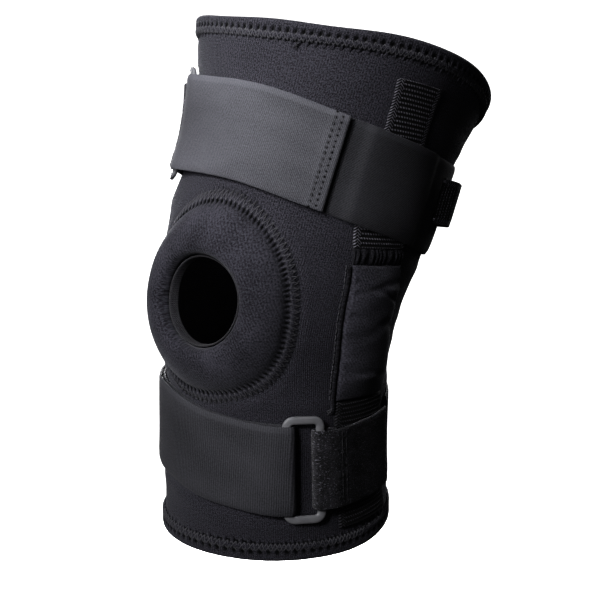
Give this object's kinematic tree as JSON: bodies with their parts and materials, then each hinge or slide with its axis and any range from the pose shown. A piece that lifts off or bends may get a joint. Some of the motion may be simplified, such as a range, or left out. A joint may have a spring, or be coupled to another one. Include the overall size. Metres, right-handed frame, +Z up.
{
  "type": "knee sleeve",
  "caption": "Pull-on padded knee sleeve with an open kneecap ring pad, hook-and-loop straps through moulded rings, and a hinge pocket on each side",
  "frame": {"origin": "the middle of the leg's hollow at the height of the kneecap, which is the mount knee", "axes": "+Z up the leg, -Y towards the front of the knee, +X towards the outer side of the leg"},
  "size_m": [0.1628, 0.2035, 0.2653],
  "materials": {
    "knit": "fine charcoal jersey knit over padded foam",
    "pad_knit": "soft brushed charcoal jersey over padding",
    "strap": "dense woven strap with a fine diagonal twill",
    "loop_fabric": "fuzzy loop pile",
    "webbing": "ribbed elastic webbing",
    "overlock": "overlocked thread edge",
    "ring": "satin moulded plastic, charcoal grey"
  },
  "bodies": {
    "root": {"sleeve": "knit", "upper_hem": "knit", "lower_hem": "knit", "kneecap_pad": "pad_knit", "kneecap_binding": "overlock", "upper_strap": "strap", "upper_ring": "ring", "upper_ring_tab": "loop_fabric", "rear_loop": "webbing", "lower_strap": "strap", "lower_ring": "ring", "lower_ring_tab": "loop_fabric", "outer_webbing": "webbing", "outer_gather": "webbing", "outer_pocket": "pad_knit", "outer_piping": "overlock", "outer_lower_webbing": "webbing", "inner_webbing": "webbing", "inner_gather": "webbing", "inner_pocket": "pad_knit", "inner_piping": "overlock", "inner_lower_webbing": "webbing"}
  },
  "joints": []
}
